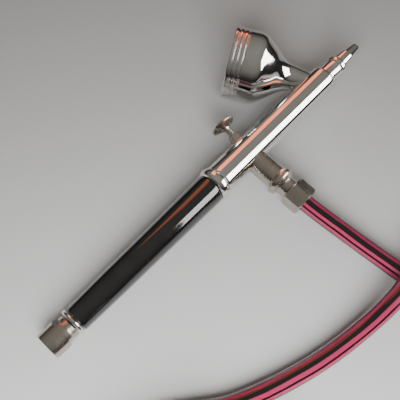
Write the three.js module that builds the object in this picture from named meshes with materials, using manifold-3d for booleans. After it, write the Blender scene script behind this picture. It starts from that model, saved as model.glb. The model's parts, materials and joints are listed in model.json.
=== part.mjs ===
// Gravity-feed, dual-action airbrush gun lying on its side, with its air hose.
// Millimetres. Two frames are used:
//   gun frame    x runs along the body from the tail cap to the needle cap,
//                z runs from the air valve up to the trigger, y is across;
//   resting frame +Z up from the table. The gun group is rolled onto its side
//                in it, on the cup's rim, the hose nut and the tail.
import * as THREE from "three";
import { mergeVertices } from "three/addons/utils/BufferGeometryUtils.js";
import Module from "manifold-3d";

const wasm = await Module();
wasm.setup();

// ---------------------------------------------------------------- driving dimensions

const GUN_LENGTH = 160;
const GAP = 0.3;                       // clearance between touching pieces

const LIE_ROLL = 8.1;                  // degrees, trigger side raised by the cup
const LIE_PITCH = 2.85;                // degrees, nozzle raised
const LIE_PLACE = [-79.83, -4.85, 4.67];      // where the gun frame's origin lies

const VALVE_X = 92.2;                  // air valve's centre line
const CUP_X = 134.1;                   // where the cup's axis meets the body's
const CUP_LEAN = 29.5;                 // degrees, cup leaning back to the tail
const BODY_REAR = 76.8;                // barrel, in front of the bead ring
const BODY_FRONT = 138.6;
const BODY_R_REAR = 5.68;
const BODY_R_FRONT = 5.5;
const SLOT_WIDTH = 4.6;
const SLOT_REAR = 86.0;
const SLOT_THROUGH = 100.5;            // behind this the slot opens the cavity
const SLOT_FRONT = 119.4;
const AIR_PASSAGE_Z = -3.75;

const NUT_FLATS = 9.7;
const NUT_TOP = -19.9;
const NUT_END = -27.1;
const HOSE_D = 6.2;
const TRIGGER_FOOT = -2.2;
const TRIGGER_LEAN = 7.5;              // degrees forward of the valve's axis
const KNOB_TURN = 12;                  // degrees, how the notched tail knob is left
const NEEDLE_R = 0.6;

const TABLE_CLEAR = 0.05;              // everything on the table stands this far above z = 0
const COIL_CENTRE = [-96, -82];
const COIL_MEAN_R = 33;
const COIL_ROWS = 2;
const TIE_THICK = 0.7;
const COIL_LIFT = TABLE_CLEAR + TIE_THICK + GAP;
const COIL_SIDE = 9.6;                 // half the width of the wound ring
const END_NUT_FLATS = 14;
const END_AXIS_Z = END_NUT_FLATS / 2 + TABLE_CLEAR;

// The hose from the gun's nut: down to the table, out past the nozzle side, back over
// itself in a low hump, and away below the handle to the coil.
const HOSE_ROUTE = [
  [12.44, -30.19, 5.65], [12.4, -33.6, 5.2], [12.7, -39.6, 4.5], [13.2, -47.6, 3.7], [13.6, -57.6, 3.2],
  [13.9, -68.6, 3.15], [14.3, -82.6, 3.15], [17, -97.6, 3.15], [25, -112.1, 3.15], [38.5, -121.1, 3.15],
  [54, -121.1, 3.15], [67, -112.1, 3.15], [72.5, -98.6, 3.15], [68.5, -85.1, 3.15],
  [57.5, -76.6, 3.6], [43, -73.6, 5.6], [28, -73.4, 8.6], [14.2, -73.3, 9.8], [1, -72.9, 8.4],
  [-11, -71.1, 5.4], [-25.5, -67.7, 3.5], [-41, -62.3, 3.15], [-55, -55.6, 3.15],
  [-63, -49.5, 3.15], [-71.6, -43, 3.15],
];

// From the coil's upper outside turn to the ferrule.
const LEAD_ROUTE = [
  [-80.3, -125.2, 9.2], [-71, -121.8, 8.2], [-61.5, -119.2, 7.1], [-52, -117.8, 6.9],
  [-46, -117.5, 7], [-42, -117.5, 7.05],
];

// ---------------------------------------------------------------- materials

function metal(colour, roughness) {
  return new THREE.MeshStandardMaterial({ color: colour, roughness, metalness: 1 });
}

function plastic(colour, roughness) {
  return new THREE.MeshStandardMaterial({ color: colour, roughness, metalness: 0 });
}

const CHROME = metal(0xd8d6d2, 0.08);
const NICKEL = metal(0xa39b8e, 0.28);
const STEEL = metal(0xb9bcc0, 0.25);
const BRASS = metal(0xc2a15a, 0.3);
const LACQUER = plastic(0x070707, 0.12);
const SEAL = plastic(0xe9e7e0, 0.5);
const RUBBER = plastic(0x1b1b1c, 0.7);
const HOSE = plastic(0x9c2745, 0.25);

// ---------------------------------------------------------------- solids

// Merges shared corners, drops collapsed faces and turns the faces outward.
function closed(geometry) {
  geometry.deleteAttribute("normal");
  geometry.deleteAttribute("uv");
  const merged = mergeVertices(geometry, 1e-5);
  const position = merged.getAttribute("position");
  const kept = [];
  let volume = 0;
  const [a, b, c] = [new THREE.Vector3(), new THREE.Vector3(), new THREE.Vector3()];
  for (let i = 0; i < merged.index.count; i += 3) {
    const corner = [0, 1, 2].map((k) => merged.index.getX(i + k));
    if (new Set(corner).size < 3) continue;
    kept.push(...corner);
    a.fromBufferAttribute(position, corner[0]);
    b.fromBufferAttribute(position, corner[1]);
    c.fromBufferAttribute(position, corner[2]);
    volume += a.dot(b.cross(c));
  }
  if (volume < 0) kept.reverse();
  merged.setIndex(kept);
  return merged;
}

function solid(geometry) {
  const clean = closed(geometry);
  return new wasm.Manifold(new wasm.Mesh({
    numProp: 3,
    vertProperties: new Float32Array(clean.getAttribute("position").array),
    triVerts: new Uint32Array(clean.index.array),
  }));
}

function geometryOf(manifold) {
  const mesh = manifold.getMesh();
  const geometry = new THREE.BufferGeometry();
  geometry.setAttribute("position", new THREE.BufferAttribute(mesh.vertProperties, 3));
  geometry.setIndex(new THREE.BufferAttribute(mesh.triVerts, 1));
  geometry.computeVertexNormals();
  return geometry;
}

// A turned solid about the y axis. An outline is [along, radius] points, and it either
// starts and ends on the axis or, as a ring, closes on itself.
function lathe(outline, sides = 28) {
  const points = outline.map(([along, radius]) => new THREE.Vector2(radius, along));
  const onAxis = outline[0][1] === 0 && outline.at(-1)[1] === 0;
  if (!onAxis) points.push(points[0].clone());
  return new THREE.LatheGeometry(points, sides);
}

function alongX(outline, sides) {
  return solid(lathe(outline, sides).rotateZ(-Math.PI / 2));
}

function alongZ(outline, sides, x = VALVE_X) {
  return solid(lathe(outline, sides).rotateX(Math.PI / 2).translate(x, 0, 0));
}

// A rod or a hole from one end to the other, given as an outline for a lathe.
function rod(from, to, radius) {
  return [[from, 0], [from, radius], [to, radius], [to, 0]];
}

function ring(from, to, inner, outer) {
  return [[from, inner], [from, outer], [to, outer], [to, inner]];
}

function box(x, y, z, at = [0, 0, 0]) {
  return solid(new THREE.BoxGeometry(x, y, z).translate(...at));
}

// Points of a round bead between two places on a profile, standing up to radius.
function bead(from, to, base, radius, steps = 6) {
  const points = [];
  for (let i = 0; i <= steps; i += 1) {
    const turn = Math.PI * i / steps;
    const along = (from + to) / 2 - Math.cos(turn) * (to - from) / 2;
    points.push([along, base + Math.sin(turn) * (radius - base)]);
  }
  return points;
}

// Points of a smooth profile through a few [along, radius] knots.
function smooth(knots, steps) {
  const curve = new THREE.SplineCurve(knots.map(([along, radius]) => new THREE.Vector2(along, radius)));
  return curve.getPoints(steps).map((point) => [point.x, point.y]);
}

function circle(radius, sides) {
  const shape = new THREE.Shape();
  for (let i = 0; i < sides; i += 1) {
    const turn = 2 * Math.PI * i / sides;
    const place = [radius * Math.cos(turn), radius * Math.sin(turn)];
    if (i === 0) shape.moveTo(...place);
    else shape.lineTo(...place);
  }
  shape.closePath();
  return shape;
}

function tube(curve, radius, steps, sides) {
  return new THREE.ExtrudeGeometry(circle(radius, sides), { steps, extrudePath: curve });
}

class Helix extends THREE.Curve {
  constructor(radius, from, to, turns) {
    super();
    Object.assign(this, { radius, from, to, turns });
  }

  getPoint(t, target = new THREE.Vector3()) {
    const turn = 2 * Math.PI * this.turns * t;
    const along = this.from + (this.to - this.from) * t;
    return target.set(this.radius * Math.cos(turn), along, this.radius * Math.sin(turn));
  }
}

function spring(radius, wire, from, to, turns) {
  return tube(new Helix(radius, from, to, turns), wire, turns * 7, 4);
}

// ---------------------------------------------------------------- scene graph

const part = new THREE.Group();
const pitched = new THREE.Group();
pitched.rotation.y = -THREE.MathUtils.degToRad(LIE_PITCH);
pitched.position.set(...LIE_PLACE);
const gun = new THREE.Group();
gun.rotation.x = THREE.MathUtils.degToRad(LIE_ROLL - 90);
pitched.add(gun);
part.add(pitched);

function add(group, name, shape, material) {
  const geometry = shape instanceof THREE.BufferGeometry ? closed(shape) : geometryOf(shape);
  const mesh = new THREE.Mesh(geometry, material);
  mesh.name = name;
  group.add(mesh);
  return mesh;
}

// ---------------------------------------------------------------- main body

function barrel(extra = 0) {
  return [
    [BODY_REAR, 0],
    [BODY_REAR, BODY_R_REAR + extra],
    [BODY_FRONT - 1.5, BODY_R_FRONT + extra],
    [BODY_FRONT - 1.5, 0],
  ];
}

function mainBody() {
  const spigotR = 3.9;
  const outer = alongX([
    [64, 0], [64, spigotR], [72.9, spigotR],
    [72.9, 5.4],
    ...bead(73.1, 76.6, 5.6, 6.5),
    [BODY_REAR, BODY_R_REAR],
    [BODY_FRONT - 1.5, BODY_R_FRONT],
    [BODY_FRONT - 0.8, 5.3],
    [BODY_FRONT - 0.3, 4.9],
    [BODY_FRONT, 4.4],
    [BODY_FRONT, 0],
  ], 36);
  const bore = alongX([
    [63, 0], [63, 3.3], [80, 3.3], [80, 3.1], [102, 3.1],
    [103.5, 1.7], [126, 1.7], [126, 0.95], [128, 0.95], [128.6, 1.7],
    [134.2, 1.7], [134.2, 2.9], [BODY_FRONT + 1, 2.9], [BODY_FRONT + 1, 0],
  ], 24);
  const valveHole = alongZ(rod(-8, -1.5, 3.1), 24);
  const airPassage = alongX(rod(VALVE_X, BODY_FRONT + 1, 0.45), 10).translate([0, 0, AIR_PASSAGE_Z]);
  const slot = slotCutter(SLOT_REAR, SLOT_THROUGH, 0.5);
  const groove = slotCutter(SLOT_THROUGH - SLOT_WIDTH, SLOT_FRONT, 3.6);
  const seat = cupPlaced(alongAxis([[0.4, 0], [0.4, 1.7], [3.3, 1.7], [3.3, 3.3], [9, 3.3], [9, 0]], 20));
  return outer.subtract(bore).subtract(valveHole).subtract(airPassage)
    .subtract(slot).subtract(groove).subtract(seat);
}

// A straight-sided slot with round ends, open upward from a floor.
function slotCutter(from, to, floor) {
  const round = SLOT_WIDTH / 2;
  const top = 8;
  const middle = box(to - from - SLOT_WIDTH, SLOT_WIDTH, top - floor,
    [(from + to) / 2, 0, (top + floor) / 2]);
  const ends = [from + round, to - round].map((x) => alongZ(rod(floor, top, round), 20, x));
  return middle.add(ends[0]).add(ends[1]);
}

// ---------------------------------------------------------------- paint cup

// The cup is turned about its own axis, then leaned back and set on the body.
function alongAxis(outline, sides) {
  return solid(lathe(outline, sides).rotateX(Math.PI / 2));
}

function cupPlaced(shape) {
  return shape.rotate([0, -CUP_LEAN, 0]).translate([CUP_X, 0, 0]);
}

function paintCup() {
  const rim = 35.2;
  const outerR = 13.9;
  const ridges = [];
  const ridgePitch = 1.75;
  const ridgeDepth = 0.35;
  for (let i = 0; i < 3; i += 1) {
    const top = rim - 0.3 - i * ridgePitch;
    ridges.push([top, outerR], [top - 1.05, outerR], [top - 1.35, outerR - ridgeDepth]);
  }
  ridges.push([rim - 0.3 - 3 * ridgePitch, outerR]);
  const outside = smooth([[25.4, 13.9], [22.6, 13.05], [18.6, 10.05], [15.2, 7.1],
    [12.4, 5.4], [9.2, 4.75], [5.0, 3.95]], 11);
  const inside = smooth([[3.4, 1.5], [8.4, 2.7], [12.4, 4.4], [15.2, 6.1],
    [18.6, 9.05], [22.4, 12.1], [25.4, 12.95]], 9);
  const bell = alongAxis([...inside, [rim, 12.95], [rim, outerR - 0.3], ...ridges, ...outside, [3.4, 3.7]], 32);
  const clearOfBarrel = cupPlaced(bell).subtract(alongX(barrel(GAP), 36));
  const spigot = cupPlaced(alongAxis(ring(3.6, 8.4, 2.0, 3.0), 20));
  const innerWay = cupPlaced(alongAxis(rod(3, 9, 1.5), 16));
  return clearOfBarrel.add(spigot).subtract(innerWay);
}

// ---------------------------------------------------------------- front end

function nozzleCap() {
  const outer = [
    [134.6, 2.2], [134.6, 2.6], [BODY_FRONT + GAP, 2.6], [BODY_FRONT + GAP, 4.3],
    [140, 4.15], [144.5, 3.85],
    ...bead(144.9, 147.5, 4.0, 4.55, 5),
    [147.7, 3.3],
    [147.7, 2.6], [145.2, 2.6], [145.2, 1.6], [140.4, 1.6], [140.4, 2.2],
  ];
  return alongX(outer, 24);
}

function needleCap() {
  return alongX([
    [145.5, 1.55], [145.5, 2.3], [148, 2.3], [148, 3.35], [153.2, 3.08],
    [153.4, 2.75], [159.0, 2.05], [159.7, 1.9], [GUN_LENGTH, 1.5],
    [GUN_LENGTH, 0.9], [157.6, 1.3],
  ], 28);
}

function fluidNozzle() {
  return alongX([
    [137.4, 1.0], [137.4, 1.85], [139.9, 1.85], [139.9, 1.25], [156.4, 0.8],
    [157.6, 0.62], [157.6, 0.42], [150, 0.85],
  ], 16);
}

// ---------------------------------------------------------------- air valve

function valveCase() {
  const wide = 4.4;
  const outside = alongZ([
    [-24.1, 0], [-24.1, 3.5], [-20.2, 3.5], [-20.2, 3.8], [-19.4, 3.75], [-18.4, 3.55], [-17.5, 3.75],
    [-16.9, 4.3],
    ...bead(-16.6, -13.9, 4.7, 5.55, 6),
    [-13.5, wide], [-2.5, wide], [-2.5, 0],
  ], 24).subtract(alongX(barrel(GAP), 36));
  const spigot = alongZ(rod(-7, -4.9, 2.8), 24);
  const bore = alongZ([
    [-25, 0], [-25, 2.1], [-20.2, 2.1], [-20.2, 2.6], [-8.2, 2.6], [-8.2, 1.2], [-3, 1.2], [-3, 0],
  ], 24);
  return outside.add(spigot).subtract(bore);
}

function valvePlunger() {
  return alongZ([
    [-16.2, 0], [-16.2, 0.6], [-10.4, 0.6], [-10.4, 1.9], [-9.3, 1.9], [-9.3, 0.8],
    [-3.1, 0.8], [-3.1, 0],
  ], 16);
}

// ---------------------------------------------------------------- hose connection

function hexNut(from, to, flats, boreWide, boreEnd, step) {
  const corner = flats / 2 / Math.cos(Math.PI / 6);
  const direction = Math.sign(to - from);
  const hex = rod(from, to, corner);
  const round = [
    [from, 0], [from, flats / 2 - 0.6], [from + direction * 1.1, corner],
    [to - direction * 0.7, corner], [to, flats / 2], [to, 0],
  ];
  const bore = [
    [from - direction, 0], [from - direction, boreWide], [step, boreWide],
    [step, boreEnd], [to + direction, boreEnd], [to + direction, 0],
  ];
  return { hex, round, bore };
}

function hoseNut() {
  const nut = hexNut(NUT_TOP, NUT_END, NUT_FLATS, 4.0, 3.4, -25.5);
  return alongZ(nut.hex, 6).intersect(alongZ(nut.round, 30)).subtract(alongZ(nut.bore, 24));
}

// ---------------------------------------------------------------- handle and tail

function handle() {
  return alongX([
    [11.2, 2.3], [11.2, 4.3], [11.6, 4.42], [25, 4.78], [40, 5.02], [56, 5.3], [71.8, 5.62],
    [72.6, 5.45], [72.6, 4.2], [63.7, 4.2], [63.7, 3.5], [27, 3.5], [25.5, 2.3],
  ], 36);
}

function tailRing() {
  return alongX([[9.4, 2.3], [9.4, 4.3], ...bead(9.5, 10.8, 4.35, 4.85, 5), [10.9, 4.2], [10.9, 2.3]], 24);
}

function presetKnob() {
  const capEnd = 5.5;
  const webEnd = 7.5;
  const flange = 9.1;
  const turned = alongX([
    [0, 0], [0, 4.3], [0.4, 4.62], [0.8, 4.72], [capEnd, 4.72], [webEnd, 4.72], [webEnd, 3.85],
    [flange, 3.8], [flange, 1.6], [13.4, 1.6], [13.4, 0],
  ], 32);
  const webHalf = 2.8;
  const cut = 6;
  let knob = turned;
  for (const side of [-1, 1]) {
    knob = knob.subtract(box(webEnd - capEnd, 2 * cut, cut,
      [(capEnd + webEnd) / 2, 0, side * (webHalf + cut / 2)]));
  }
  return knob.rotate([KNOB_TURN, 0, 0]);
}

// ---------------------------------------------------------------- trigger and levers

// The trigger is built upright on its foot, with its own z along its stem.
function trigger() {
  const blade = box(3.0, 3.2, 8.2, [0, 0, 4.6]);
  const foot = solid(new THREE.CylinderGeometry(1.5, 1.5, 3.2, 16)).translate([0, 0, 1.0]);
  const blockFrom = 6.9;
  const blockTop = 10.8;
  const block = box(3.2, 3.8, blockTop - blockFrom, [0, 0, (blockFrom + blockTop) / 2])
    .intersect(solid(lathe([[blockFrom, 0], [blockFrom, 2.75], [9.8, 2.75], [10.8, 1.5], [10.8, 0]], 24)
      .rotateX(Math.PI / 2)));
  const button = solid(lathe([
    [10.5, 0], [10.5, 1.2], [13.3, 1.2], [14.1, 1.6], [14.9, 3.2], [15.3, 4.3], [15.6, 4.75],
    [16.0, 4.8], [16.5, 4.2], [16.85, 2.4], [16.95, 0],
  ], 32).rotateX(Math.PI / 2));
  const needleWay = box(6, 1.9, 4.6, [0, 0, 3.4]);
  return blade.add(foot).add(block).add(button).subtract(needleWay);
}

function backLever() {
  const plate = box(2.0, 3.4, 5.2, [0, 0, 2.6]);
  const rounded = solid(new THREE.CylinderGeometry(1.7, 1.7, 2.0, 20).rotateZ(Math.PI / 2)).translate([0, 0, 5.2]);
  const needleWay = solid(new THREE.CylinderGeometry(1.2, 1.2, 5, 16).rotateZ(Math.PI / 2)).translate([0, 0, 2.3]);
  return plate.add(rounded).subtract(needleWay);
}

// ---------------------------------------------------------------- needle group

function needle() {
  return alongX([[27, 0], [27.3, NEEDLE_R], [141, NEEDLE_R], [158.6, 0.12], [159.2, 0]], 12);
}

function needleTube() {
  return alongX([
    [44, 0.95], [44, 1.5], [86.0, 1.5], [86.0, 2.5], [88.0, 2.5], [88.0, 0.95],
  ], 20);
}

function springCase() {
  return alongX([
    [56, 1.85], [56, 3.2], [60, 3.2], [60, 2.95], [79.6, 2.95], [79.6, 2.6], [57.6, 2.6], [57.6, 1.85],
  ], 24);
}

function needleChuck() {
  return alongX([
    [39.8, 0.95], [39.8, 2.2], [40.4, 2.7], [47.4, 2.7], [47.4, 1.85], [43.6, 1.85], [43.6, 0.95],
  ], 24);
}

// ---------------------------------------------------------------- gun assembly

add(gun, "main_body", mainBody(), CHROME);
add(gun, "paint_cup", paintCup(), CHROME);
add(gun, "nozzle_cap", nozzleCap(), CHROME);
add(gun, "needle_cap", needleCap(), CHROME);
add(gun, "fluid_nozzle", fluidNozzle(), BRASS);
add(gun, "nozzle_seal", alongX(ring(136.4, 137.1, 1.0, 1.85), 16), SEAL);
add(gun, "needle_packing", alongX(ring(122.8, 125.6, 0.95, 1.35), 16), SEAL);
add(gun, "packing_screw", alongX(ring(117.5, 122.4, 0.95, 1.35), 16), BRASS);
add(gun, "needle", needle(), STEEL);
add(gun, "needle_tube", needleTube(), NICKEL);
add(gun, "needle_spring", spring(2.1, 0.22, 58.2, 85.4, 9).rotateZ(-Math.PI / 2), STEEL);
add(gun, "spring_case", springCase(), NICKEL);
add(gun, "needle_chuck", needleChuck(), NICKEL);
add(gun, "handle", handle(), LACQUER);
add(gun, "tail_ring", tailRing(), CHROME);
add(gun, "needle_stop", alongX([[13.7, 0], [13.7, 1.9], [23.6, 1.9], [24, 1.5], [24, 0]], 16), NICKEL);
add(gun, "preset_knob", presetKnob(), NICKEL);

const triggerMesh = add(gun, "trigger", trigger(), NICKEL);
triggerMesh.position.set(VALVE_X, 0, TRIGGER_FOOT);
triggerMesh.rotation.y = THREE.MathUtils.degToRad(TRIGGER_LEAN);
const leverMesh = add(gun, "back_lever", backLever(), STEEL);
leverMesh.position.set(89.3, 0, -2.3);

add(gun, "valve_case", valveCase(), NICKEL);
add(gun, "valve_plunger", valvePlunger(), BRASS);
add(gun, "valve_seal", alongZ([...bead(-9.1, -8.3, 1.5, 1.95, 4), ...bead(-8.3, -9.1, 1.5, 1.1, 4)], 16), RUBBER);
add(gun, "valve_spring", spring(1.7, 0.2, -16.6, -10.7, 5).rotateX(Math.PI / 2).translate(VALVE_X, 0, 0), STEEL);
add(gun, "valve_screw", alongZ(ring(-19.6, -16.9, 0.9, 2.3), 20), BRASS);
add(gun, "hose_nut", hoseNut(), NICKEL);
add(gun, "hose_tail", alongZ([[-25.2, 1.2], [-25.2, 3.7], [-24.4, 3.7], [-24.4, 1.2]], 20), BRASS);

// ---------------------------------------------------------------- hose on the table

function route(points) {
  return new THREE.CatmullRomCurve3(points.map((point) => new THREE.Vector3(...point)));
}

function coilRing() {
  const low = COIL_LIFT;
  const high = COIL_LIFT + COIL_ROWS * HOSE_D + 0.2;
  const inner = COIL_MEAN_R - COIL_SIDE;
  const outer = COIL_MEAN_R + COIL_SIDE;
  const soft = 1.6;
  return new THREE.LatheGeometry([
    [inner, low + soft], [inner + soft, low], [outer - soft, low], [outer, low + soft],
    [outer, high - soft], [outer - soft, high], [inner + soft, high], [inner, high - soft],
    [inner, low + soft],
  ].map((point) => new THREE.Vector2(...point)), 32).rotateX(Math.PI / 2)
    .translate(...COIL_CENTRE, 0);
}

// A flat strap closed around the ring's section, where the coil lies furthest from the gun.
function hoseTie() {
  const inWide = 2 * (COIL_SIDE + GAP);
  const inHigh = COIL_ROWS * HOSE_D + 0.2 + 2 * GAP;
  const middle = COIL_LIFT + (COIL_ROWS * HOSE_D + 0.2) / 2;
  const wide = 6;
  const strap = box(inWide + 2 * TIE_THICK, wide, inHigh + 2 * TIE_THICK)
    .subtract(box(inWide, wide + 2, inHigh));
  return strap.translate([COIL_CENTRE[0] - COIL_MEAN_R, COIL_CENTRE[1], middle]);
}

// The far end lies along +x: ferrule, then the free-turning union nut.
const END_X = -42 + GAP;
const END_Y = -117.5;

function endFerrule() {
  return alongX([
    [0, 0], [0, 4.1], [1.2, 4.4], [2, 4.1], [5, 4.1], [5.6, 4.4], [6.6, 4.4], [7.2, 4.1], [11.2, 4.1],
    [12, 3.4], [13.4, 3.4], [13.4, 5.0], [14.6, 5.0], [14.6, 0],
  ], 24).translate([END_X, END_Y, END_AXIS_Z]);
}

function endNut() {
  const from = 12.2;
  const to = 26;
  const corner = END_NUT_FLATS / 2 / Math.cos(Math.PI / 6);
  const hex = alongX(rod(from, to, corner), 6).rotate([30, 0, 0]);
  const round = alongX([[from, 0], [from, 6.2], [from + 1.2, corner], [to - 0.9, corner], [to, 6.9], [to, 0]], 30);
  const bore = alongX([[from - 1, 0], [from - 1, 3.75], [13.1, 3.75], [13.1, 5.4], [to + 1, 5.4], [to + 1, 0]], 24);
  return hex.intersect(round).subtract(bore).translate([END_X, END_Y, END_AXIS_Z]);
}

add(part, "hose_tube", tube(route(HOSE_ROUTE), HOSE_D / 2, 36, 10), HOSE);
add(part, "hose_coil", coilRing(), HOSE);
add(part, "hose_lead", tube(route(LEAD_ROUTE), HOSE_D / 2, 6, 10), HOSE);
add(part, "hose_tie", hoseTie(), RUBBER);
add(part, "end_ferrule", endFerrule(), NICKEL);
add(part, "end_nut", endNut(), NICKEL);

export default part;
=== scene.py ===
"""Airbrush gun lying on its side on a pale table, with its striped air hose."""
import json
import math

import bpy
import bmesh
from mathutils import Matrix, Vector


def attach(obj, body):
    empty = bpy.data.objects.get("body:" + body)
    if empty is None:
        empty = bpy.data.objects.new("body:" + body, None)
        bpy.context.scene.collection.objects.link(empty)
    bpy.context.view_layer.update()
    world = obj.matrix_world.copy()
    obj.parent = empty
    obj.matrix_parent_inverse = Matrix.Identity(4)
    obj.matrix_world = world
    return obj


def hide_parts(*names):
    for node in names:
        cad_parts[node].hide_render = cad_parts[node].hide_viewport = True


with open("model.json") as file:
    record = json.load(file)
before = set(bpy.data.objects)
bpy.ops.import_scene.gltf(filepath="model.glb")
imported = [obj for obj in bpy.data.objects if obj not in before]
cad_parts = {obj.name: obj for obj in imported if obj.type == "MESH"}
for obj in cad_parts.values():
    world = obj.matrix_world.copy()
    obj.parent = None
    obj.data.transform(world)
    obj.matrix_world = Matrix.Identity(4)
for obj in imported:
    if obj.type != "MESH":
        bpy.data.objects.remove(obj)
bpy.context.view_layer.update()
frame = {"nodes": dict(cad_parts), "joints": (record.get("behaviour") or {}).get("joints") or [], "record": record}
MM = 0.001

# ------------------------------------------------------------ the gun's own frame

joints = {joint["name"]: joint for joint in frame["joints"]}
GUN_X = -Vector(joints["handle_turn"]["axis"])
GUN_Z = -Vector(joints["hose_nut_turn"]["axis"])
GUN_Y = GUN_Z.cross(GUN_X)
KNOB_JOINT_X = 5 * MM
ORIGIN = Vector(joints["preset_turn"]["pos_m"]) - KNOB_JOINT_X * GUN_X
GUN = Matrix.Translation(ORIGIN) @ Matrix((GUN_X, GUN_Y, GUN_Z)).transposed().to_4x4()

# ------------------------------------------------------------ camera

VIEW_ELEVATION = math.radians(60)
VIEW_HEADING = math.radians(39.5)
VIEW_ROLL = math.radians(3.2)
CAMERA_PLACE = (-0.0813, -0.0614, 0.1612)

camera_data = bpy.data.cameras.new("camera")
camera_data.lens = 46.8
camera_data.sensor_width = 36
camera_data.clip_start = 0.01
camera = bpy.data.objects.new("camera", camera_data)
bpy.context.collection.objects.link(camera)
camera.matrix_world = (Matrix.Translation(CAMERA_PLACE)
                       @ Matrix.Rotation(VIEW_HEADING - math.pi / 2, 4, "Z")
                       @ Matrix.Rotation(math.pi / 2 - VIEW_ELEVATION, 4, "X")
                       @ Matrix.Rotation(VIEW_ROLL, 4, "Z"))
bpy.context.scene.camera = camera

# ------------------------------------------------------------ hose route, in metres

HOSE_D = 6.2 * MM
HOSE_ROUTE = [
    (0.01244, -0.03019, 0.00565), (0.0124, -0.0336, 0.0052), (0.0127, -0.0396, 0.0045),
    (0.0132, -0.0476, 0.0037), (0.0136, -0.0576, 0.0032), (0.0139, -0.0686, 0.00315),
    (0.0143, -0.0826, 0.00315), (0.017, -0.0976, 0.00315), (0.025, -0.1121, 0.00315),
    (0.0385, -0.1211, 0.00315), (0.054, -0.1211, 0.00315), (0.067, -0.1121, 0.00315),
    (0.0725, -0.0986, 0.00315), (0.0685, -0.0851, 0.00315), (0.0575, -0.0766, 0.0036),
    (0.043, -0.0736, 0.0056), (0.028, -0.0734, 0.0086), (0.0142, -0.0733, 0.0098),
    (0.001, -0.0729, 0.0084), (-0.011, -0.0711, 0.0054), (-0.0255, -0.0677, 0.0035),
    (-0.041, -0.0623, 0.00315), (-0.055, -0.0556, 0.00315), (-0.063, -0.0495, 0.00315),
    (-0.0716, -0.043, 0.00315),
]
LEAD_ROUTE = [
    (-0.0803, -0.1252, 0.0092), (-0.071, -0.1218, 0.0082), (-0.0615, -0.1192, 0.0071),
    (-0.052, -0.1178, 0.0069), (-0.046, -0.1175, 0.007), (-0.042, -0.1175, 0.00705),
]
COIL_CENTRE = Vector((-0.096, -0.082, 0))
COIL_MEAN_R = 33 * MM
COIL_LOW_Z = 1.05 * MM + HOSE_D / 2
COIL_START = math.radians(58)
COIL_END = math.radians(290 + 5 * 360)
POINTS_PER_TURN = 32


def eased(t):
    t = min(max(t, 0.0), 1.0)
    return t * t * (3 - 2 * t)


def coil_points():
    """Turns beside and on each other: three inward on the table, three outward on top."""
    places = [(HOSE_D, 0), (0, 0), (-HOSE_D, 0), (-HOSE_D, HOSE_D), (0, HOSE_D), (HOSE_D, HOSE_D)]
    enter, leave = math.radians(40), math.radians(40)
    step_over = 0.5                  # share of a turn in which the hose crosses to its next place
    count = round((COIL_END - COIL_START) / (2 * math.pi) * POINTS_PER_TURN)
    points = []
    for i in range(1, count):
        angle = COIL_START + (COIL_END - COIL_START) * i / count
        turns = (angle - COIL_START) / (2 * math.pi)
        k = min(int(turns), len(places) - 1)
        share = eased((turns - k - (1 - step_over)) / step_over)
        here, after = places[k], places[min(k + 1, len(places) - 1)]
        radius = COIL_MEAN_R + here[0] + (after[0] - here[0]) * share
        height = COIL_LOW_Z + here[1] + (after[1] - here[1]) * share
        out = 1 - eased((angle - COIL_START) / enter)
        radius += (math.hypot(HOSE_ROUTE[-1][0] - COIL_CENTRE.x, HOSE_ROUTE[-1][1] - COIL_CENTRE.y)
                   - COIL_MEAN_R - HOSE_D) * out
        height += (HOSE_ROUTE[-1][2] - COIL_LOW_Z) * out
        out = eased((angle - COIL_END + leave) / leave)
        radius += (math.hypot(LEAD_ROUTE[0][0] - COIL_CENTRE.x, LEAD_ROUTE[0][1] - COIL_CENTRE.y)
                   - COIL_MEAN_R - HOSE_D) * out
        height += (LEAD_ROUTE[0][2] - COIL_LOW_Z - HOSE_D) * out
        place = Vector((radius * math.cos(angle), radius * math.sin(angle), height))
        points.append(tuple(COIL_CENTRE + place))
    return points


def spline(points, step):
    """Catmull-Rom curve through the points, sampled about every step."""
    knots = [Vector(p) for p in points]
    knots = [2 * knots[0] - knots[1], *knots, 2 * knots[-1] - knots[-2]]
    line = []
    for p0, p1, p2, p3 in zip(knots, knots[1:], knots[2:], knots[3:]):
        count = max(2, math.ceil((p2 - p1).length / step))
        for i in range(count):
            t = i / count
            line.append(0.5 * (2 * p1 + (p2 - p0) * t + (2 * p0 - 5 * p1 + 4 * p2 - p3) * t * t
                               + (3 * p1 - p0 - 3 * p2 + p3) * t ** 3))
    line.append(knots[-2])
    return line


# ------------------------------------------------------------ shapes, in millimetres


GUN_MM = GUN @ Matrix.Scale(MM, 4)
WORLD_MM = Matrix.Scale(MM, 4)
SIDES = 96
SNUG = 0.03                      # what is left between two pieces that are seen to touch
VALVE_X = 92.2
CUP_X = 134.1
CUP_LEAN = math.radians(29.5)
BODY_REAR = 76.8
BODY_FRONT = 138.6
BODY_R_REAR = 5.68
BODY_R_FRONT = 5.5
UPRIGHT = Matrix.Rotation(-math.pi / 2, 4, "Y")      # turns the x axis up onto z
AT_VALVE = Matrix.Translation((VALVE_X, 0, 0)) @ UPRIGHT
AT_CUP = Matrix.Translation((CUP_X, 0, 0)) @ Matrix.Rotation(-CUP_LEAN, 4, "Y") @ UPRIGHT


def arc_bead(start, end, base, radius, steps=12):
    """A round bead between two places on an outline."""
    points = []
    for i in range(steps + 1):
        turn = math.pi * i / steps
        points.append(((start + end) / 2 - math.cos(turn) * (end - start) / 2,
                       base + math.sin(turn) * (radius - base)))
    return points


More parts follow.
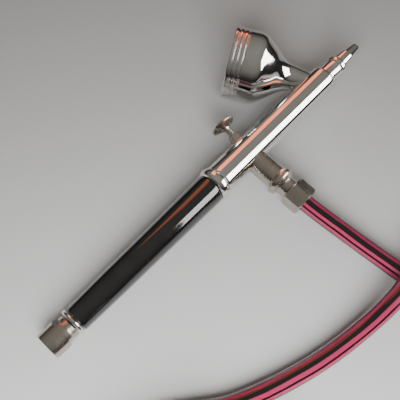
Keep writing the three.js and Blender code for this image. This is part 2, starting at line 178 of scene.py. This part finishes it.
def softened(outline, radius=0.14, steps=3):
    """The outline with its corners rounded, as a turned edge is broken."""
    ring = outline[0][1] > 0
    points = [Vector(p) for p in outline]
    soft = []
    for i, point in enumerate(points):
        before = points[i - 1] if i or ring else None
        after = points[(i + 1) % len(points)] if i + 1 < len(points) or ring else None
        if before is None or after is None or point.y < 1e-6:
            soft.append(tuple(point))
            continue
        back, ahead = before - point, after - point
        if back.length < 1e-6 or ahead.length < 1e-6:
            continue
        opening = back.angle(ahead)
        if opening > math.radians(155):
            soft.append(tuple(point))
            continue
        reach = min(radius / math.tan(opening / 2), 0.45 * back.length, 0.45 * ahead.length)
        first, last = point + back.normalized() * reach, point + ahead.normalized() * reach
        for k in range(steps + 1):
            t = k / steps
            soft.append(tuple((1 - t) ** 2 * first + 2 * t * (1 - t) * point + t * t * last))
    return soft


def divided(outline, step):
    """The outline with points added along its long stretches."""
    points = [outline[0]]
    for start, end in zip(outline, outline[1:]):
        count = max(1, math.ceil((Vector(end) - Vector(start)).length / step))
        points += [tuple(Vector(start).lerp(Vector(end), k / count)) for k in range(1, count + 1)]
    return points


def flowing(knots, steps=28):
    """A smooth outline through a few [along, radius] knots."""
    line = spline([(along, radius, 0) for along, radius in knots], 0.05)
    every = (len(line) - 1) / steps
    return [(line[round(i * every)].x, line[round(i * every)].y) for i in range(steps + 1)]


def turned(name, outline, sides=SIDES, place=Matrix.Identity(4)):
    """A solid turned about the x axis. u runs round it and v along the outline, in millimetres."""
    bm = bmesh.new()
    uv = bm.loops.layers.uv.new("around_along")
    closed = outline[0][1] > 1e-6
    points = list(outline) + ([outline[0]] if closed else [])
    rings, along = [], [0.0]
    for i, (x, radius) in enumerate(points):
        if closed and i == len(points) - 1:
            rings.append(rings[0])
        elif radius < 1e-6:
            rings.append([bm.verts.new((x, 0, 0))])
        else:
            rings.append([bm.verts.new((x, radius * math.cos(2 * math.pi * k / sides),
                                        radius * math.sin(2 * math.pi * k / sides))) for k in range(sides)])
        if i:
            along.append(along[-1] + math.dist(points[i - 1], points[i]))
    for i, (low, high) in enumerate(zip(rings, rings[1:])):
        girth = 2 * math.pi * max(points[i][1], points[i + 1][1])
        for k in range(sides):
            n = (k + 1) % sides
            corners = [(low[k % len(low)], k, i), (low[n % len(low)], k + 1, i),
                       (high[n % len(high)], k + 1, i + 1), (high[k % len(high)], k, i + 1)]
            corners = [c for j, c in enumerate(corners) if c[0] is not corners[j - 1][0]]
            if len(corners) < 3:
                continue
            face = bm.faces.new([c[0] for c in corners])
            for loop, (_, step, row) in zip(face.loops, corners):
                loop[uv].uv = (girth * step / sides, along[row])
    bmesh.ops.recalc_face_normals(bm, faces=bm.faces)
    bm.transform(place)
    return mesh_object(name, bm)


def block(name, size, at, place=Matrix.Identity(4), edge=0.0):
    bm = bmesh.new()
    bmesh.ops.create_cube(bm, size=1, matrix=Matrix.Translation(at) @ Matrix.Diagonal((*size, 1)))
    if edge:
        bmesh.ops.bevel(bm, geom=bm.edges[:], offset=edge, segments=3, affect="EDGES")
    bm.transform(place)
    return mesh_object(name, bm)


def mesh_object(name, bm, smooth_angle=35):
    mesh = bpy.data.meshes.new(name)
    bm.normal_update()
    bm.to_mesh(mesh)
    bm.free()
    for polygon in mesh.polygons:
        polygon.use_smooth = True
    mesh.set_sharp_from_angle(angle=math.radians(smooth_angle))
    piece = bpy.data.objects.new(name, mesh)
    bpy.context.collection.objects.link(piece)
    return piece


def joined(piece, *others, operation="DIFFERENCE"):
    """Cuts the others from the piece, or adds them to it, and removes them."""
    for other in others:
        modifier = piece.modifiers.new("join", "BOOLEAN")
        modifier.object = other
        modifier.operation = operation
        modifier.solver = "EXACT"
    bpy.context.view_layer.update()
    graph = bpy.context.evaluated_depsgraph_get()
    mesh = bpy.data.meshes.new_from_object(piece.evaluated_get(graph))
    piece.modifiers.clear()
    piece.data = mesh
    for polygon in mesh.polygons:
        polygon.use_smooth = True
    mesh.set_sharp_from_angle(angle=math.radians(35))
    for other in others:
        bpy.data.objects.remove(other)
    return piece


def rod(start, end, radius):
    return [(start, 0), (start, radius), (end, radius), (end, 0)]


def ring(start, end, inner, outer):
    return [(start, inner), (start, outer), (end, outer), (end, inner)]


def finished(piece, place, body, slot, *nodes):
    """Puts a piece in its place, in metres, on its body, and lets it stand for its CAD node."""
    piece.data.transform(place)
    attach(piece, body)
    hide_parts(*nodes)
    piece.data.materials.clear()
    piece.data.materials.append(MATERIALS[slot])
    return piece


def sweep(name, line, radius, sides=20):
    """A closed tube along a line of points, with u around it and v along it in metres."""
    bm = bmesh.new()
    uv = bm.loops.layers.uv.new("around_along")
    rings, along = [], [0.0]
    tangent = (line[1] - line[0]).normalized()
    normal = Vector((0, 0, 1)).cross(tangent).normalized()
    for i, point in enumerate(line):
        ahead = line[min(i + 1, len(line) - 1)] - line[max(i - 1, 0)]
        tangent = ahead.normalized()
        normal = (normal - normal.dot(tangent) * tangent).normalized()
        other = tangent.cross(normal)
        ring = []
        for k in range(sides):
            turn = 2 * math.pi * k / sides
            ring.append(bm.verts.new(point + radius * (math.cos(turn) * normal + math.sin(turn) * other)))
        rings.append(ring)
        if i:
            along.append(along[-1] + (point - line[i - 1]).length)
    for i, (low, high) in enumerate(zip(rings, rings[1:])):
        for k in range(sides):
            face = bm.faces.new((low[k], low[(k + 1) % sides], high[(k + 1) % sides], high[k]))
            marks = [(k, along[i]), (k + 1, along[i]), (k + 1, along[i + 1]), (k, along[i + 1])]
            for loop, (u, v) in zip(face.loops, marks):
                loop[uv].uv = (u / sides, v)
    bm.faces.new(list(reversed(rings[0])))
    bm.faces.new(rings[-1])
    return mesh_object(name, bm), along[-1]


# ------------------------------------------------------------ materials


def new_material(name):
    material = bpy.data.materials.new(name)
    material.use_nodes = True
    tree = material.node_tree
    return material, tree, tree.nodes["Principled BSDF"]


def object_place(tree, scale):
    """Coordinates that move with the piece, scaled along each axis."""
    place = tree.nodes.new("ShaderNodeTexCoord")
    mapping = tree.nodes.new("ShaderNodeMapping")
    mapping.inputs["Scale"].default_value = scale
    tree.links.new(place.outputs["Object"], mapping.inputs["Vector"])
    return mapping.outputs["Vector"]


def noise(tree, vector, scale, detail=3.0, distortion=0.0):
    node = tree.nodes.new("ShaderNodeTexNoise")
    node.inputs["Scale"].default_value = scale
    node.inputs["Detail"].default_value = detail
    node.inputs["Distortion"].default_value = distortion
    tree.links.new(vector, node.inputs["Vector"])
    return node.outputs["Fac"]


def ramp(tree, value, stops, interpolation="LINEAR"):
    node = tree.nodes.new("ShaderNodeValToRGB")
    node.color_ramp.interpolation = interpolation
    while len(node.color_ramp.elements) < len(stops):
        node.color_ramp.elements.new(0.5)
    for element, (place, colour) in zip(node.color_ramp.elements, stops):
        element.position = place
        element.color = (*colour, 1)
    tree.links.new(value, node.inputs["Fac"])
    return node.outputs["Color"]


def spread(tree, value, low, high):
    node = tree.nodes.new("ShaderNodeMapRange")
    node.inputs["From Min"].default_value = 0.3
    node.inputs["From Max"].default_value = 0.7
    node.inputs["To Min"].default_value = low
    node.inputs["To Max"].default_value = high
    tree.links.new(value, node.inputs["Value"])
    return node.outputs["Result"]


def bump(tree, shader, height, strength, distance, under=None):
    node = tree.nodes.new("ShaderNodeBump")
    node.inputs["Strength"].default_value = strength
    node.inputs["Distance"].default_value = distance
    tree.links.new(height, node.inputs["Height"])
    if under:
        tree.links.new(under, node.inputs["Normal"])
    tree.links.new(node.outputs["Normal"], shader.inputs["Normal"])
    return node.outputs["Normal"]


def metal(name, light, dark, smooth, rough, grain, grain_strength):
    """Metal with slow colour changes, handling marks in its gloss, and a fine grain."""
    material, tree, shader = new_material(name)
    even = object_place(tree, (1, 1, 1))
    stretched = object_place(tree, grain)
    shader.inputs["Metallic"].default_value = 1
    tarnish = noise(tree, even, 90, 4, 0.6)
    tree.links.new(ramp(tree, tarnish, [(0.35, light), (0.7, dark)]), shader.inputs["Base Color"])
    smudges = noise(tree, even, 260, 5, 1.2)
    tree.links.new(spread(tree, smudges, smooth, rough), shader.inputs["Roughness"])
    bump(tree, shader, noise(tree, stretched, 1, 2), grain_strength, 0.00004)
    return material


def lacquer():
    material, tree, shader = new_material("black_lacquer")
    even = object_place(tree, (1, 1, 1))
    colour = ramp(tree, noise(tree, even, 150, 4),
                  [(0.3, (0.0035, 0.0035, 0.0038)), (0.8, (0.008, 0.0075, 0.0075))])
    tree.links.new(colour, shader.inputs["Base Color"])
    tree.links.new(spread(tree, noise(tree, even, 300, 5, 1.0), 0.04, 0.1), shader.inputs["Roughness"])
    shader.inputs["Coat Weight"].default_value = 1
    shader.inputs["Coat Roughness"].default_value = 0.03
    shader.inputs["IOR"].default_value = 1.55
    bump(tree, shader, noise(tree, even, 900, 2), 0.05, 0.00003)
    return material


def plain(name, light, dark, smooth, rough, scale, strength, distance):
    """Rubber, seals and other moulded or cut soft parts."""
    material, tree, shader = new_material(name)
    even = object_place(tree, (1, 1, 1))
    colour = ramp(tree, noise(tree, even, scale / 5, 4), [(0.3, dark), (0.7, light)])
    tree.links.new(colour, shader.inputs["Base Color"])
    tree.links.new(spread(tree, noise(tree, even, scale / 3, 4), smooth, rough), shader.inputs["Roughness"])
    bump(tree, shader, noise(tree, even, scale, 4), strength, distance)
    return material


def hose_sleeve():
    """Clear red sleeve with black stripes along it, a broad and a narrow one by turns."""
    material, tree, shader = new_material("hose_sleeve")
    marks = tree.nodes.new("ShaderNodeUVMap")
    marks.uv_map = "around_along"
    apart = tree.nodes.new("ShaderNodeSeparateXYZ")
    tree.links.new(marks.outputs["UV"], apart.inputs["Vector"])
    even = object_place(tree, (1, 1, 1))
    wander = tree.nodes.new("ShaderNodeMath")
    wander.operation = "MULTIPLY_ADD"
    wander.inputs[1].default_value = STRIPE_PAIRS
    tree.links.new(apart.outputs["X"], wander.inputs[0])
    tree.links.new(spread(tree, noise(tree, even, 60, 2), -0.03, 0.03), wander.inputs[2])
    repeat = tree.nodes.new("ShaderNodeMath")
    repeat.operation = "FRACT"
    tree.links.new(wander.outputs["Value"], repeat.inputs[0])
    red, black = (0.33, 0.022, 0.075), (0.006, 0.004, 0.005)
    stripes = ramp(tree, repeat.outputs["Value"], [
        (0.0, black), (0.34, black), (0.37, red), (0.56, red), (0.58, black),
        (0.70, black), (0.72, red), (0.96, red), (0.99, black)])
    tree.links.new(stripes, shader.inputs["Base Color"])
    tree.links.new(spread(tree, noise(tree, even, 220, 4), 0.12, 0.24), shader.inputs["Roughness"])
    shader.inputs["Coat Weight"].default_value = 0.6
    shader.inputs["Coat Roughness"].default_value = 0.08
    bump(tree, shader, noise(tree, even, 700, 3), 0.12, 0.00006)
    return material


STRIPE_PAIRS = 4
EVEN_GRAIN = (1500, 1500, 1500)
TURNED_GRAIN = (2600, 500, 500)
MATERIALS = {
    "chrome": metal("chrome", (0.86, 0.845, 0.825), (0.78, 0.765, 0.75), 0.035, 0.09, EVEN_GRAIN, 0.05),
    "satin_nickel": metal("satin_nickel", (0.60, 0.555, 0.49), (0.50, 0.46, 0.40),
                          0.2, 0.3, TURNED_GRAIN, 0.25),
    "steel_parts": metal("steel_parts", (0.66, 0.67, 0.69), (0.55, 0.56, 0.58),
                         0.16, 0.28, TURNED_GRAIN, 0.2),
    "brass_parts": metal("brass_parts", (0.80, 0.60, 0.29), (0.62, 0.44, 0.19),
                         0.18, 0.32, TURNED_GRAIN, 0.2),
    "black_lacquer": lacquer(),
    "white_seal": plain("white_seal", (0.86, 0.85, 0.8), (0.76, 0.75, 0.7), 0.4, 0.55, 2500, 0.2, 0.00003),
    "black_rubber": plain("black_rubber", (0.035, 0.035, 0.036), (0.015, 0.015, 0.016),
                          0.5, 0.75, 2200, 0.6, 0.0001),
    "hose_sleeve": hose_sleeve(),
}
for row in frame["record"]["subparts"]:
    node = frame["nodes"][row["node"]]
    node.data.materials.clear()
    node.data.materials.append(MATERIALS[row["material_slot"]])


# ------------------------------------------------------------ main body


def barrel_outline(extra, start=BODY_REAR - 20, end=BODY_FRONT + 10):
    def radius(x):
        share = (x - BODY_REAR) / (BODY_FRONT - 1.5 - BODY_REAR)
        return BODY_R_REAR + (BODY_R_FRONT - BODY_R_REAR) * share + extra
    return [(start, 0), (start, radius(start)), (end, radius(end)), (end, 0)]


def slot_cutter(start, end, floor):
    half = 2.3
    top = 8
    middle = block("slot_middle", (end - start - 2 * half, 2 * half, top - floor),
                   ((start + end) / 2, 0, (top + floor) / 2))
    ends = [turned("slot_end", rod(floor, top, half), 48, Matrix.Translation((x, 0, 0)) @ UPRIGHT)
            for x in (start + half, end - half)]
    return [middle, *ends]


def main_body():
    nose = [(BODY_FRONT - 1.5, BODY_R_FRONT), (BODY_FRONT - 0.8, 5.3), (BODY_FRONT - 0.3, 4.9),
            (BODY_FRONT, 4.4), (BODY_FRONT, 0)]
    outside = softened([(64, 0), (64, 3.9), (72.9, 3.9), (72.9, 5.4)])
    outside += arc_bead(73.1, 76.6, 5.6, 6.5, 16)
    outside += divided([(BODY_REAR, BODY_R_REAR), (BODY_FRONT - 1.5, BODY_R_FRONT)], 1.5) + nose[1:]
    bore = [(63, 0), (63, 3.3), (80, 3.3), (80, 3.1), (102, 3.1), (103.5, 1.7), (126, 1.7), (126, 0.95),
            (128, 0.95), (128.6, 1.7), (134.2, 1.7), (134.2, 2.9), (BODY_FRONT + 1, 2.9), (BODY_FRONT + 1, 0)]
    seat = [(0.4, 0), (0.4, 1.7), (3.3, 1.7), (3.3, 3.3), (9, 3.3), (9, 0)]
    body = turned("barrel", outside, 128)
    joined(body, turned("bore", bore, 48), turned("valve_hole", rod(-8, -1.5, 3.1), 48, AT_VALVE),
           *slot_cutter(86.0, 100.5, 0.5), *slot_cutter(95.9, 119.4, 3.6),
           turned("cup_seat", seat, 48, AT_CUP))
    return finished(body, GUN_MM, "gun_body", "chrome", "main_body")


# ------------------------------------------------------------ paint cup


def paint_cup():
    rim, outer, inner = 35.2, 13.9, 12.95
    ridges = []
    ridge_count, ridge_pitch, ridge_top, groove = 3, 1.75, 0.3, 0.35
    for i in range(ridge_count):
        top = rim - ridge_top - i * ridge_pitch
        ridges += [(top, outer), (top - 0.95, outer),
                   (top - 1.2, outer - groove), (top - 1.5, outer - groove)]
    ridges.append((rim - ridge_top - ridge_count * ridge_pitch, outer))
    outside = flowing([(25.4, 13.9), (24.2, 13.7), (22.6, 13.05), (18.6, 10.05), (15.2, 7.1),
                       (12.4, 5.4), (9.2, 4.75), (5.0, 3.95)], 48)
    inside = flowing([(3.4, 1.5), (8.4, 2.7), (12.4, 4.4), (15.2, 6.1), (18.6, 9.05), (22.4, 12.1),
                      (25.4, inner)], 40)
    outline = softened([*inside, (rim, inner), (rim, outer - 0.2), *ridges], 0.12) + outside + [(3.4, 3.7)]
    cup = turned("cup_bell", outline, 128, AT_CUP)
    joined(cup, turned("barrel_clear", barrel_outline(SNUG), 128))
    spigot = turned("spigot", ring(3.6, 8.4, 2.0, 3.0), 48, AT_CUP)
    joined(cup, spigot, operation="UNION")
    joined(cup, turned("paint_way", rod(3, 9, 1.5), 48, AT_CUP))
    return finished(cup, GUN_MM, "gun_body", "chrome", "paint_cup")


# ------------------------------------------------------------ front caps


def nozzle_cap():
    outline = [(134.6, 2.2), (134.6, 2.6), (BODY_FRONT + SNUG, 2.6), (BODY_FRONT + SNUG, 4.3), (140, 4.15),
               (144.5, 3.85), *arc_bead(144.9, 147.5, 4.0, 4.55), (147.7, 3.3),
               (147.7, 2.6), (145.2, 2.6), (145.2, 1.6), (140.4, 1.6), (140.4, 2.2)]
    shell = turned("nozzle_cap_shell", softened(outline, 0.1))
    return finished(shell, GUN_MM, "nozzle_cap", "chrome", "nozzle_cap")


def needle_cap():
    outline = [(145.5, 1.55), (145.5, 2.3), (148, 2.3), (148, 3.35), (153.2, 3.08), (153.4, 2.75),
               (159.0, 2.05), (159.7, 1.9), (160, 1.5), (160, 0.9), (157.6, 1.3)]
    shell = turned("needle_cap_shell", softened(outline, 0.12))
    return finished(shell, GUN_MM, "needle_cap", "chrome", "needle_cap")


# ------------------------------------------------------------ air valve and hose nut


def valve_case():
    outside = [(-24.1, 0), (-24.1, 3.5), (-20.2, 3.5), (-20.2, 3.8), (-19.4, 3.75), (-18.4, 3.55),
               (-17.5, 3.75), (-16.9, 4.3), *arc_bead(-16.6, -13.9, 4.7, 5.55),
               (-13.5, 4.4), (-2.5, 4.4), (-2.5, 0)]
    bore = [(-25, 0), (-25, 2.1), (-20.2, 2.1), (-20.2, 2.6), (-8.2, 2.6), (-8.2, 1.2), (-3, 1.2), (-3, 0)]
    case = turned("valve_tube", softened(outside, 0.15), SIDES, AT_VALVE)
    joined(case, turned("barrel_clear", barrel_outline(SNUG), 128))
    joined(case, turned("spigot", rod(-7, -4.9, 2.8), 48, AT_VALVE), operation="UNION")
    joined(case, turned("air_way", bore, 48, AT_VALVE))
    return finished(case, GUN_MM, "gun_body", "satin_nickel", "valve_case")


def hexagon_nut(name, start, end, flats, bore, place):
    """A hexagon with both ends turned to a chamfer and its corners broken."""
    corner = flats / 2 / math.cos(math.pi / 6)
    way = math.copysign(1, end - start)
    chamfer = [(start, 0), (start, flats / 2 - 0.6), (start + way * 1.1, corner), (end - way * 0.7, corner),
               (end, flats / 2), (end, 0)]
    nut = turned(name, rod(start, end, corner - 0.06), 6, place)
    joined(nut, turned("chamfer", softened(chamfer, 0.2), SIDES, place), operation="INTERSECT")
    joined(nut, turned("bore", bore, 64, place))
    return nut


def hose_nut():
    bore = [(-18.9, 0), (-18.9, 4.0), (-25.5, 4.0), (-25.5, 3.4), (-28.1, 3.4), (-28.1, 0)]
    nut = hexagon_nut("hose_nut_body", -19.9, -27.1, 9.7, bore, AT_VALVE)
    return finished(nut, GUN_MM, "hose_nut", "satin_nickel", "hose_nut")


# ------------------------------------------------------------ handle and tail


def handle():
    outside = flowing([(11.6, 4.42), (25, 4.78), (40, 5.02), (56, 5.3), (71.8, 5.62)], 48)
    outline = softened([(11.2, 2.3), (11.2, 4.3), *outside, (72.6, 5.45), (72.6, 4.2), (63.7, 4.2),
                        (63.7, 3.5), (27, 3.5), (25.5, 2.3)], 0.2)
    return finished(turned("handle_shell", outline, 128), GUN_MM, "handle", "black_lacquer", "handle")


def tail_ring():
    outline = [(9.4, 2.3), (9.4, 4.3), *arc_bead(9.5, 10.8, 4.35, 4.85, 10), (10.9, 4.2), (10.9, 2.3)]
    return finished(turned("tail_bead", outline), GUN_MM, "handle", "chrome", "tail_ring")


def preset_knob():
    turn = Matrix.Rotation(math.radians(12), 4, "X")
    outline = [(0, 0), (0, 4.62), (7.5, 4.72), (7.5, 3.85), (9.1, 3.8), (9.1, 1.6), (13.4, 1.6), (13.4, 0)]
    knob = turned("tail_knob", softened(divided(outline, 2.5), 0.28), SIDES, turn)
    cuts = [block("notch", (2, 12, 6), (6.5, 0, side * 5.8), turn) for side in (-1, 1)]
    joined(knob, *cuts)
    return finished(knob, GUN_MM, "preset_knob", "satin_nickel", "preset_knob")


# ------------------------------------------------------------ trigger


def trigger():
    place = Matrix.Translation((VALVE_X, 0, -2.2)) @ Matrix.Rotation(math.radians(7.5), 4, "Y")
    button = softened([(10.5, 0), (10.5, 1.2), (13.3, 1.2), (14.1, 1.6), (14.9, 3.2), (15.3, 4.3),
                       (15.6, 4.75), (16.0, 4.8), (16.5, 4.2), (16.85, 2.4), (16.95, 0)], 0.3)
    dome = softened([(6.9, 0), (6.9, 2.75), (9.8, 2.75), (10.8, 1.5), (10.8, 0)], 0.4)
    neck = block("trigger_block", (3.2, 3.8, 3.9), (0, 0, 8.85), edge=0.25)
    joined(neck, turned("dome", dome, 64, UPRIGHT), operation="INTERSECT")
    piece = block("trigger_blade", (3.0, 3.2, 8.2), (0, 0, 4.6), edge=0.15)
    foot = turned("foot", rod(-1.6, 1.6, 1.5), 32,
                  Matrix.Translation((0, 0, 1)) @ Matrix.Rotation(math.pi / 2, 4, "Z"))
    joined(piece, foot, neck, turned("button", button, 80, UPRIGHT), operation="UNION")
    joined(piece, block("needle_way", (6, 1.9, 4.6), (0, 0, 3.4)))
    return finished(piece, GUN_MM @ place, "trigger", "satin_nickel", "trigger")


# ------------------------------------------------------------ far end of the hose


END_PLACE = Matrix.Translation((-41.7, -117.5, 7.05))


def end_ferrule():
    grips = [point for i in range(5) for point in arc_bead(5.8 + i * 1.1, 6.8 + i * 1.1, 4.05, 4.35, 5)]
    outline = softened([(0, 0), (0, 4.1), (1.2, 4.35), (2, 4.1), (5, 4.1)], 0.2)
    outline += grips + softened([(12, 3.4), (13.4, 3.4), (13.4, 5.0), (14.6, 5.0), (14.6, 0)], 0.15)
    sleeve = turned("ferrule", outline, SIDES, END_PLACE)
    return finished(sleeve, WORLD_MM, "gun_body", "satin_nickel", "end_ferrule")


def end_nut():
    start, end, flats = 12.2, 26, 14
    threads = [p for i in range(11) for p in ((14.4 + i, 5.45), (14.9 + i, 5.8), (15.4 + i, 5.45))]
    bore = [(start - 1, 0), (start - 1, 3.75), (13.1, 3.75), (13.1, 5.4),
            *threads, (end + 1, 5.45), (end + 1, 0)]
    place = END_PLACE @ Matrix.Rotation(math.radians(30), 4, "X") @ Matrix.Rotation(math.pi / 2, 4, "X")
    nut = hexagon_nut("union_nut", end, start, flats, bore, place)
    return finished(nut, WORLD_MM, "end_nut", "satin_nickel", "end_nut")


def hose_tie():
    """A soft strap around the coil's section, closed on itself, with a crowned outer face."""
    wide, thick = 6.0, 0.7
    in_wide, in_high = 19.8, 13.2
    middle = Vector((COIL_CENTRE.x - COIL_MEAN_R, COIL_CENTRE.y, 0)) / MM + Vector((0, 0, 1.05 + 6.3))
    corner = 2.2
    line = []
    for i, (sx, sz) in enumerate([(1, 1), (-1, 1), (-1, -1), (1, -1)]):
        for k in range(7):
            turn = math.radians(90 * i + 90 * k / 6)
            line.append((sx * (in_wide / 2 - corner) + corner * math.cos(turn),
                         sz * (in_high / 2 - corner) + corner * math.sin(turn)))
    bm = bmesh.new()
    uv = bm.loops.layers.uv.new("around_along")
    outer_extra = [0.0, 0.25, 0.35, 0.25, 0.0]
    rings = []
    for n, (x, z) in enumerate(line):
        out = Vector((x, 0, z)) - Vector((math.copysign(in_wide / 2 - corner, x), 0,
                                          math.copysign(in_high / 2 - corner, z)))
        out.normalize()
        section = [(0, -wide / 2)]
        section += [(thick - 0.35 + extra, wide * (k / 4 - 0.5)) for k, extra in enumerate(outer_extra)]
        section += [(0, wide / 2), (-0.0, 0)]
        rings.append([bm.verts.new(middle + Vector((x, y, z)) + out * height) for height, y in section])
    size = len(rings[0])
    for n in range(len(rings)):
        for k in range(size):
            m, j = (n + 1) % len(rings), (k + 1) % size
            face = bm.faces.new((rings[n][k], rings[m][k], rings[m][j], rings[n][j]))
            for loop, (u, v) in zip(face.loops, [(n, k), (n + 1, k), (n + 1, k + 1), (n, k + 1)]):
                loop[uv].uv = (2.4 * u, v)
    bmesh.ops.recalc_face_normals(bm, faces=bm.faces)
    return finished(mesh_object("coil_strap", bm), WORLD_MM, "gun_body", "black_rubber", "hose_tie")


# ------------------------------------------------------------ building it

for build in (main_body, paint_cup, nozzle_cap, needle_cap, valve_case, hose_nut, handle, tail_ring,
              preset_knob, trigger):
    build()
ends = [hose_tie(), end_ferrule(), end_nut()]

hose_line = spline([*HOSE_ROUTE, *coil_points(), *LEAD_ROUTE], 1.5 * MM)
hose, hose_length = sweep("air_hose", hose_line, HOSE_D / 2, 24)
print("hose length", hose_length)
hose.data.materials.append(MATERIALS["hose_sleeve"])
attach(hose, "gun_body")
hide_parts("hose_tube", "hose_coil", "hose_lead")

# ------------------------------------------------------------ floor and light


def pale_floor():
    bm = bmesh.new()
    bmesh.ops.create_grid(bm, x_segments=1, y_segments=1, size=2.5)
    floor = mesh_object("floor", bm)
    material, tree, shader = new_material("pale_floor")
    colour = ramp(tree, noise(tree, object_place(tree, (1, 1, 1)), 4, 3),
                  [(0.3, (0.53, 0.53, 0.53)), (0.7, (0.56, 0.56, 0.56))])
    tree.links.new(colour, shader.inputs["Base Color"])
    shader.inputs["Roughness"].default_value = 0.8
    floor.data.materials.append(material)


def strip_light(name, start, end, width, aim, radiance, colour):
    """A long soft box between two places, facing aim, seen in the gloss only."""
    start, end = Vector(start), Vector(end)
    middle = (start + end) / 2
    long_way = (end - start).normalized()
    back = (middle - Vector(aim))
    back = (back - back.dot(long_way) * long_way).normalized()
    data = bpy.data.lights.new(name, "AREA")
    data.shape = "RECTANGLE"
    data.size = (end - start).length
    data.size_y = width
    data.energy = radiance * math.pi * data.size * width
    data.color = colour
    lamp = bpy.data.objects.new(name, data)
    lamp.matrix_world = (Matrix.Translation(middle)
                         @ Matrix((long_way, back.cross(long_way), back)).transposed().to_4x4())
    lamp.visible_diffuse = False
    bpy.context.collection.objects.link(lamp)


def overhead_light(name, place, aim, size, power):
    """Lights the floor and the dull surfaces, and isn't seen in the gloss."""
    data = bpy.data.lights.new(name, "AREA")
    data.shape = "DISK"
    data.size = size
    data.energy = power
    lamp = bpy.data.objects.new(name, data)
    way = (Vector(place) - Vector(aim)).to_track_quat("Z", "Y").to_matrix().to_4x4()
    lamp.matrix_world = Matrix.Translation(place) @ way
    lamp.visible_glossy = False
    bpy.context.collection.objects.link(lamp)


def surroundings():
    """A dim room: dark at the horizon, grey overhead."""
    world = bpy.data.worlds.new("room")
    world.use_nodes = True
    tree = world.node_tree
    place = tree.nodes.new("ShaderNodeTexCoord")
    apart = tree.nodes.new("ShaderNodeSeparateXYZ")
    tree.links.new(place.outputs["Generated"], apart.inputs["Vector"])
    colour = ramp(tree, apart.outputs["Z"], [(0.0, (0.02, 0.018, 0.018)), (0.15, (0.03, 0.027, 0.027)),
                                             (0.5, (0.17, 0.165, 0.15)), (1.0, (0.27, 0.265, 0.24))])
    tree.links.new(colour, tree.nodes["Background"].inputs["Color"])
    bpy.context.scene.world = world


pale_floor()
surroundings()
strip_light("white_side", (0.14, -0.58, 0.40), (1.15, -0.56, 0.46), 0.46, (0.5, 0, 0.01), 9, (1, 0.99, 0.98))
strip_light("warm_side", (0.10, 0.33, 0.62), (1.0, 0.60, 0.38), 0.30, (0.45, 0, 0.01), 2.2, (1.0, 0.2, 0.06))
overhead_light("near_floor", (-0.17, -0.15, 0.15), (-0.09, -0.09, 0), 0.20, 1.5)
